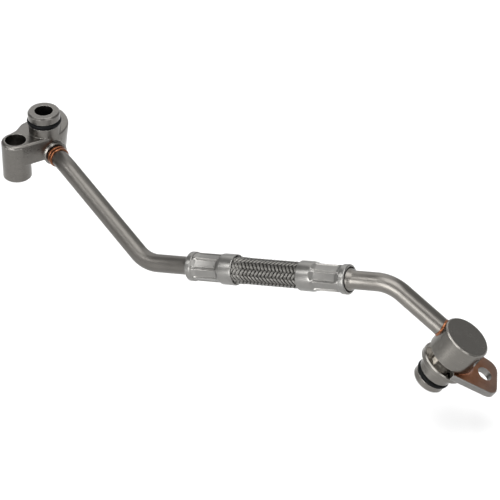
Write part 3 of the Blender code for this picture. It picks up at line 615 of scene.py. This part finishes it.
class Nodes:
    """A material's node tree, with short calls to add and link nodes."""

    def __init__(self, name):
        self.material = bpy.data.materials.new(name)
        self.material.use_nodes = True
        self.tree = self.material.node_tree
        self.shader = self.tree.nodes["Principled BSDF"]

    def node(self, kind, **settings):
        """A new shader node with its settings."""
        made = self.tree.nodes.new("ShaderNode" + kind)
        for key, value in settings.items():
            setattr(made, key, value)
        return made

    def link(self, source, target):
        """Links an output socket to an input socket."""
        self.tree.links.new(source, target)

    def feed(self, name, source):
        """Links an output socket to an input of the shader."""
        self.link(source, self.shader.inputs[name])

    def fed(self, name):
        """The output socket that feeds an input of the shader."""
        return self.shader.inputs[name].links[0].from_socket

    def ramp(self, source, stops):
        """A colour ramp on a value: [(position, grey or colour), ...]."""
        made = self.node("ValToRGB")
        elements = made.color_ramp.elements
        while len(elements) < len(stops):
            elements.new(0.5)
        for element, (position, colour) in zip(elements, stops):
            element.position = position
            element.color = (colour, colour, colour, 1) if isinstance(colour, float) else (*colour, 1)
        self.link(source, made.inputs["Fac"])
        return made.outputs["Color"]

    def seen_from(self, matrix):
        """Object coordinates seen from a frame."""
        back = matrix.inverted()
        made = self.node("Mapping")
        made.inputs["Location"].default_value = back.to_translation()
        made.inputs["Rotation"].default_value = back.to_euler()
        self.link(self.node("TexCoord").outputs["Object"], made.inputs["Vector"])
        return made.outputs["Vector"]

    def stretched(self, vector, stretch):
        """A vector with each of its parts scaled."""
        made = self.node("VectorMath", operation="MULTIPLY")
        made.inputs[1].default_value = stretch
        self.link(vector, made.inputs[0])
        return made.outputs["Vector"]

    def dot(self, first, second):
        """The dot product of a socket with a socket or a constant vector."""
        made = self.node("VectorMath", operation="DOT_PRODUCT")
        self.link(first, made.inputs[0])
        if isinstance(second, Vector):
            made.inputs[1].default_value = second
        else:
            self.link(second, made.inputs[1])
        return made.outputs["Value"]

    def around(self, vector):
        """The distance from a frame's Z, and the height along it."""
        parts = self.node("SeparateXYZ")
        self.link(vector, parts.inputs["Vector"])
        x, y, z = parts.outputs
        squares = self.math("ADD", self.math("MULTIPLY", x, x), self.math("MULTIPLY", y, y))
        return self.math("SQRT", squares), z

    def noise(self, vector, scale, detail=4.0, rough=0.55):
        """A noise value between 0 and 1."""
        made = self.node("TexNoise")
        made.inputs["Scale"].default_value = scale
        made.inputs["Detail"].default_value = detail
        made.inputs["Roughness"].default_value = rough
        self.link(vector, made.inputs["Vector"])
        return made.outputs["Fac"]

    def math(self, operation, first, second=0.0):
        """A math node. Each operand is a socket or a number."""
        made = self.node("Math", operation=operation)
        for operand, socket in zip((first, second), made.inputs):
            if isinstance(operand, (int, float)):
                socket.default_value = operand
            else:
                self.link(operand, socket)
        return made.outputs[0]

    def blend(self, first, second, share):
        """Two values in one, with the first one's share of it."""
        rest = self.math("MULTIPLY", second, 1 - share)
        return self.math("ADD", self.math("MULTIPLY", first, share), rest)

    def mix(self, factor, first, second):
        """Mixes two colours. Each is a socket or a colour."""
        made = self.node("Mix", data_type="RGBA")
        self.link(factor, made.inputs[0])
        for operand, socket in ((first, made.inputs[6]), (second, made.inputs[7])):
            if isinstance(operand, tuple):
                socket.default_value = (*operand, 1)
            else:
                self.link(operand, socket)
        return made.outputs[2]

    def paint_over(self, factor, name, value):
        """Mixes a colour or a grey over what feeds an input of the shader."""
        colour = value if isinstance(value, tuple) else (value, value, value)
        self.feed(name, self.mix(factor, self.fed(name), colour))

    def steel(self, tone, colours, roughness):
        """Bare metal whose colour and roughness follow one value."""
        dark, light = colours
        low, high = roughness
        self.feed("Base Color", self.ramp(tone, [(0.3, dark), (0.7, light)]))
        self.feed("Roughness", self.ramp(tone, [(0.25, low), (0.75, high)]))
        self.shader.inputs["Metallic"].default_value = 1.0

    def rounded(self, reach, samples):
        """The surface's normal with the edges rounded off."""
        made = self.node("Bevel", samples=samples)
        made.inputs["Radius"].default_value = reach
        return made.outputs["Normal"]

    def wear_and_highlight_edges(self, vector):
        """Rubs the edges to a brighter colour and a smoother surface, here more and there less: wear, and
        a painted highlight along every edge.
        """
        geometry = self.node("NewGeometry")
        lean = self.dot(self.rounded(EDGE_REACH, 6), geometry.outputs["Normal"])
        # the brighter edge colour is partly wear and partly a painted highlight
        rim = self.ramp(lean, [(0.86, 1.0), (0.99, 0.0)])
        patch = self.ramp(self.noise(vector, 320.0, 4.0), [(0.25, 0.45), (0.65, 1.0)])
        rubbed_and_highlit = self.math("MULTIPLY", rim, patch)
        self.paint_over(rubbed_and_highlit, "Base Color", EDGE_WEAR_AND_HIGHLIGHT)
        self.paint_over(rubbed_and_highlit, "Roughness", EDGE_ROUGHNESS)

    def bump(self, height, distance, soften=EDGE_SOFTNESS):
        """Bumps the surface, with its edges softened."""
        made = self.node("Bump")
        made.inputs["Strength"].default_value = 1.0
        made.inputs["Distance"].default_value = distance
        self.link(height, made.inputs["Height"])
        self.link(self.rounded(soften, 4), made.inputs["Normal"])
        self.feed("Normal", made.outputs["Normal"])


def milled_steel(name, colours, roughness, matrix, stretch, relief):
    """Milled steel: streaks along the tool's path, faint blotches, fine relief, and worn edges with a
    painted highlight.
    """
    nodes = Nodes(name)
    plain = nodes.seen_from(matrix)
    streak = nodes.noise(nodes.stretched(plain, stretch), 1.0, 5.0, 0.6)
    nodes.steel(nodes.blend(streak, nodes.noise(plain, 160.0, 3.0), 0.65), colours, roughness)
    nodes.bump(streak, relief)
    nodes.wear_and_highlight_edges(plain)
    return nodes, plain


def turned_steel(name, colours, roughness, matrix, relief, soften=EDGE_SOFTNESS):
    """Lathe-turned steel: fine rings round the piece's own axis."""
    nodes = Nodes(name)
    plain = nodes.seen_from(matrix)
    radius, height = nodes.around(plain)
    rings = nodes.node("CombineXYZ")
    nodes.link(nodes.math("MULTIPLY", radius, 60.0), rings.inputs["X"])
    nodes.link(nodes.math("MULTIPLY", height, 60.0), rings.inputs["Y"])
    streak = nodes.noise(rings.outputs["Vector"], 110.0, 5.0, 0.65)
    nodes.steel(nodes.blend(streak, nodes.noise(plain, 170.0, 3.0), 0.6), colours, roughness)
    nodes.bump(streak, relief, soften)
    nodes.wear_and_highlight_edges(plain)
    return nodes, radius, height


def pipe_steel(name, colours, roughness):
    """Drawn pipe: soft streaks along its length."""
    nodes = Nodes(name)
    flow = nodes.node("Attribute", attribute_name="flow")
    streak = nodes.noise(nodes.stretched(flow.outputs["Vector"], (9, 9, 5)), 1.0, 5.0, 0.6)
    plain = nodes.seen_from(Matrix())
    nodes.steel(nodes.blend(streak, nodes.noise(plain, 130.0, 4.0), 0.6), colours, roughness)
    nodes.bump(streak, 0.0007 * MM)
    nodes.wear_and_highlight_edges(plain)
    return nodes.material


def block_steel():
    """The milled block."""
    nodes, _ = milled_steel(
        "block_steel", BLOCK_COLOURS, BLOCK_ROUGHNESS, block_frame(), (900, 900, 2500), 0.01 * MM
    )
    return nodes.material


def ferrule_steel(end):
    """Plated ferrule, whose pressed ridges stay crisp."""
    name = end + "_ferrule_steel"
    place = ferrule_frame(end)
    nodes, _, _ = turned_steel(
        name, FERRULE_COLOURS, FERRULE_ROUGHNESS, place, 0.012 * MM, RIDGE_SOFTNESS
    )
    return nodes.material


def wire_steel():
    """Stainless wire of the braid, with painted shade in the depth of the weave."""
    nodes = Nodes("braid_steel")
    plain = nodes.seen_from(ferrule_frame("inlet"))
    tone = nodes.noise(plain, 900.0, 3.0)
    radius, _ = nodes.around(plain)
    lowest = BRAID_OD / 2 - WEAVE_DEPTH
    rise = nodes.math("DIVIDE", nodes.math("SUBTRACT", radius, lowest), WEAVE_DEPTH)
    dark, light = WIRE_COLOURS
    low, high = WIRE_ROUGHNESS
    bright = nodes.ramp(tone, [(0.3, dark), (0.7, light)])
    # painted shade: the lower a wire lies in the weave, the darker its colour
    height = nodes.ramp(rise, [(0.25, 0.0), (0.92, 1.0)])
    nodes.feed("Base Color", nodes.mix(height, WEAVE_PAINTED_SHADE, bright))
    nodes.feed("Roughness", nodes.ramp(tone, [(0.3, low), (0.7, high)]))
    nodes.shader.inputs["Metallic"].default_value = 1.0
    return nodes.material


def copper(name, matrix):
    """Copper braze: bright where it flowed, brown where it oxidised."""
    nodes = Nodes(name)
    tone = nodes.noise(nodes.seen_from(matrix), 200.0, 2.0)
    nodes.feed("Base Color", nodes.ramp(tone, list(zip((0.3, 0.5, 0.72), COPPER_COLOURS))))
    dull, bright = COPPER_ROUGHNESS
    nodes.feed("Roughness", nodes.ramp(tone, [(0.3, dull), (0.7, bright)]))
    nodes.shader.inputs["Metallic"].default_value = 1.0
    nodes.bump(tone, 0.004 * MM, 0.08 * MM)
    return nodes.material


def rubber(name, matrix):
    """Black rubber with a faint moulded grain."""
    nodes = Nodes(name)
    tone = nodes.noise(nodes.seen_from(matrix), 1400.0, 4.0)
    dark, light = RUBBER_COLOURS
    low, high = RUBBER_ROUGHNESS
    nodes.feed("Base Color", nodes.ramp(tone, [(0.3, dark), (0.7, light)]))
    nodes.feed("Roughness", nodes.ramp(tone, [(0.3, low), (0.7, high)]))
    nodes.shader.inputs["Specular IOR Level"].default_value = RUBBER_SPECULAR
    nodes.bump(tone, 0.01 * MM)
    return nodes.material


def plug_steel():
    """The turned plug, with a polished neck."""
    nodes, radius, depth = turned_steel(
        "plug_steel", PLUG_COLOURS, PLUG_ROUGHNESS, plug_frame(), 0.011 * MM
    )
    inside = nodes.math("LESS_THAN", radius, NECK_REACH)
    below = nodes.math("GREATER_THAN", depth, CAP_LENGTH - 0.05 * MM)
    above = nodes.math("LESS_THAN", depth, CAP_LENGTH + NECK_LENGTH + 0.05 * MM)
    neck = nodes.math("MULTIPLY", inside, nodes.math("MULTIPLY", below, above))
    nodes.paint_over(neck, "Base Color", NECK_COLOUR)
    nodes.paint_over(neck, "Roughness", NECK_ROUGHNESS)
    return nodes.material


def plate_steel():
    """The plate, whose upper face the furnace and the copper have turned brown, most beside the cap."""
    place = plug_frame() @ Matrix.Rotation(PLATE_TURN, 4, "Z")
    nodes, plain = milled_steel(
        "plate_steel", PLATE_COLOURS, PLATE_ROUGHNESS, place, (700, 700, 2600), 0.012 * MM
    )
    geometry = nodes.node("NewGeometry")
    facing = nodes.dot(geometry.outputs["True Normal"], -place.col[2].to_3d())
    upper = nodes.math("GREATER_THAN", facing, 0.8)
    cloud = nodes.noise(plain, 210.0, 5.0)
    radius, _ = nodes.around(plain)
    away = nodes.math("DIVIDE", nodes.math("SUBTRACT", radius, CAP_OD / 2), PLATE_STAIN_REACH)
    spread = nodes.math("ADD", away, nodes.math("MULTIPLY", cloud, 0.5))
    stain = nodes.math("MULTIPLY", upper, nodes.ramp(spread, [(0.3, 1.0), (1.0, 0.5)]))
    dark, light = STAIN_COLOURS
    wash = nodes.ramp(cloud, [(0.3, dark), (0.7, light)])
    nodes.feed("Base Color", nodes.mix(stain, nodes.fed("Base Color"), wash))
    return nodes.material


def smoothed(name):
    """Smooth shading up to the sharp edges of a node of the frame, by a modifier."""
    group = bpy.data.node_groups.get("smooth_by_angle") or smooth_group()
    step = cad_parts[name].modifiers.new("smooth", "NODES")
    step.node_group = group


def smooth_group():
    """Geometry nodes that weld the mesh and shade it smooth where faces meet at a slight angle."""
    group = bpy.data.node_groups.new("smooth_by_angle", "GeometryNodeTree")
    group.interface.new_socket("Geometry", in_out="INPUT", socket_type="NodeSocketGeometry")
    group.interface.new_socket("Geometry", in_out="OUTPUT", socket_type="NodeSocketGeometry")
    start = group.nodes.new("NodeGroupInput")
    end = group.nodes.new("NodeGroupOutput")
    weld = group.nodes.new("GeometryNodeMergeByDistance")
    weld.inputs["Distance"].default_value = WELD_REACH
    angle = group.nodes.new("GeometryNodeInputMeshEdgeAngle")
    gentle = group.nodes.new("FunctionNodeCompare")
    gentle.data_type = "FLOAT"
    gentle.operation = "LESS_THAN"
    gentle.inputs["B"].default_value = SMOOTH_ANGLE
    faces = group.nodes.new("GeometryNodeSetShadeSmooth")
    faces.domain = "FACE"
    edges = group.nodes.new("GeometryNodeSetShadeSmooth")
    edges.domain = "EDGE"
    join = group.links.new
    join(start.outputs[0], weld.inputs["Geometry"])
    join(weld.outputs["Geometry"], faces.inputs["Geometry"])
    join(angle.outputs["Unsigned Angle"], gentle.inputs["A"])
    join(faces.outputs["Geometry"], edges.inputs["Geometry"])
    join(gentle.outputs["Result"], edges.inputs["Shade Smooth"])
    join(edges.outputs["Geometry"], end.inputs[0])
    return group


def dress(thing, finish):
    """Gives an object its finish."""
    thing.data.materials.clear()
    thing.data.materials.append(finish)


def repaint(name, finish):
    """Gives a node of the frame its finish."""
    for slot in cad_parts[name].material_slots:
        slot.material = finish


# The stage


def floor_material():
    """White to the camera, in reflections and through glass, and pale under the lamps."""
    nodes = Nodes("floor_white")
    grain = nodes.noise(nodes.node("TexCoord").outputs["Object"], 40.0)
    dark, light = FLOOR_SHADES
    nodes.feed("Base Color", nodes.ramp(grain, [(0.3, dark), (0.7, light)]))
    nodes.shader.inputs["Roughness"].default_value = 0.9
    nodes.shader.inputs["Specular IOR Level"].default_value = 0.0
    nodes.shader.inputs["Emission Color"].default_value = (1, 1, 1, 1)
    rays = nodes.node("LightPath").outputs
    seen = nodes.math("MAXIMUM", rays["Is Camera Ray"], rays["Is Glossy Ray"])
    seen = nodes.math("MAXIMUM", seen, rays["Is Transmission Ray"])
    nodes.feed("Emission Strength", nodes.math("MULTIPLY", seen, FLOOR_GLOW))
    return nodes.material


def add_floor():
    """A wide plane under the part."""
    low = CAD_BOX[0][2] - FLOOR_DROP
    reach = FLOOR_REACH
    corners = [(-reach, -reach, low), (reach, -reach, low), (reach, reach, low), (-reach, reach, low)]
    data = bpy.data.meshes.new("floor")
    data.from_pydata(corners, [], [(0, 1, 2, 3)])
    data.materials.append(floor_material())
    made = bpy.data.objects.new("floor", data)
    bpy.context.scene.collection.objects.link(made)


def add_world():
    """A room that is pale at the horizon and dimmer overhead."""
    world = bpy.data.worlds.new("studio")
    bpy.context.scene.world = world
    world.use_nodes = True
    tree = world.node_tree
    background = tree.nodes["Background"]
    background.inputs["Color"].default_value = (1, 1, 1, 1)
    coordinates = tree.nodes.new("ShaderNodeTexCoord")
    parts = tree.nodes.new("ShaderNodeSeparateXYZ")
    tree.links.new(coordinates.outputs["Generated"], parts.inputs["Vector"])
    level = tree.nodes.new("ShaderNodeMapRange")
    level.inputs["From Max"].default_value = ZENITH_HEIGHT
    level.inputs["To Min"].default_value = HORIZON_LEVEL
    level.inputs["To Max"].default_value = ZENITH_LEVEL
    tree.links.new(parts.outputs["Z"], level.inputs["Value"])
    tree.links.new(level.outputs["Result"], background.inputs["Strength"])


def add_lamp(name, place, size, power):
    """A square soft lamp that points at the part."""
    data = bpy.data.lights.new(name, "AREA")
    data.size = size
    data.energy = power
    made = bpy.data.objects.new(name, data)
    made.location = place
    aim = Vector(LAMP_TARGET) - Vector(place)
    made.rotation_euler = aim.to_track_quat("-Z", "Y").to_euler()
    bpy.context.scene.collection.objects.link(made)


def add_camera():
    """The photograph's camera."""
    data = bpy.data.cameras.new("camera")
    data.lens = CAMERA_LENS
    data.sensor_width = SENSOR_WIDTH
    data.clip_end = CAMERA_REACH
    made = bpy.data.objects.new("camera", data)
    right = CAMERA_RIGHT.normalized()
    up = (CAMERA_UP - right * CAMERA_UP.dot(right)).normalized()
    made.matrix_world = Matrix((right, up, right.cross(up))).transposed().to_4x4()
    made.location = CAMERA_PLACE
    bpy.context.scene.collection.objects.link(made)
    bpy.context.scene.camera = made


def light_stage():
    """Floor, world, lamps and camera."""
    add_floor()
    add_world()
    for name, (place, size, power) in LAMPS.items():
        add_lamp(name, place, size, power)
    add_camera()
    bpy.context.scene.view_settings.view_transform = "Standard"


# The part


def dress_pipes():
    """Both pipes."""
    port = port_frame()
    along = hose_direction()
    start = port @ Vector((0, 0, BOSS_FACE - PORT_SOCKET + SEAT_GAP))
    corner = port @ Vector((0, 0, PORT_REACH))
    end = LOW_BEND + along * (INLET_STRAIGHT - CONE_OUTSIDE)
    inlet = bent_pipe("inlet_tube_fine", [start, corner, LOW_BEND, end])
    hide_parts("inlet_tube")
    finish = pipe_steel("inlet_pipe_steel", INLET_PIPE_COLOURS, INLET_PIPE_ROUGHNESS)
    dress(inlet, finish)
    start = OUTLET - outlet_run() * (CAP_OD / 2 - OUTLET_SOCKET + SEAT_GAP)
    end = HIGH_BEND - along * (OUTLET_STRAIGHT - CONE_OUTSIDE)
    outlet = bent_pipe("outlet_tube_fine", [start, HIGH_BEND, end])
    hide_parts("outlet_tube")
    finish = pipe_steel("outlet_pipe_steel", OUTLET_PIPE_COLOURS, OUTLET_PIPE_ROUGHNESS)
    dress(outlet, finish)


def dress_hose():
    """Ferrules, braid and liner."""
    for end in ("inlet", "outlet"):
        dress(ferrule(end), ferrule_steel(end))
    dress(braid(), wire_steel())
    repaint("hose_liner", rubber("liner_rubber", ferrule_frame("inlet")))
    smoothed("hose_liner")


def dress_braze():
    """All the copper."""
    port = copper("port_copper", port_frame())
    rim = BOSS_FACE + BRAZE_START
    dress(braze_ring("inlet_braze_inner", rim), port)
    dress(braze_ring("inlet_braze_outer", rim + BRAZE_PITCH), port)
    plug = copper("plug_copper", plug_frame())
    dress(pipe_fillet(), plug)
    dress(plate_fillet(), plug)


def dress_ends():
    """Block, plug, plate and both O-rings."""
    finishes = {"inlet_block": block_steel(), "outlet_body": plug_steel(), "flange_plate": plate_steel()}
    for name, finish in finishes.items():
        repaint(name, finish)
        smoothed(name)
    seal = rubber("seal_rubber_grain", block_frame())
    height = INLET_SHANK_LENGTH + GROOVE_WIDTH / 2
    dress(o_ring("inlet", block_frame(), height), seal)
    groove = CAP_LENGTH + NECK_LENGTH + COLLAR_THICKNESS + OUTLET_SHANK_LENGTH
    dress(o_ring("outlet", plug_frame(), groove + GROOVE_WIDTH / 2), seal)


dress_pipes()
dress_hose()
dress_braze()
dress_ends()
light_stage()
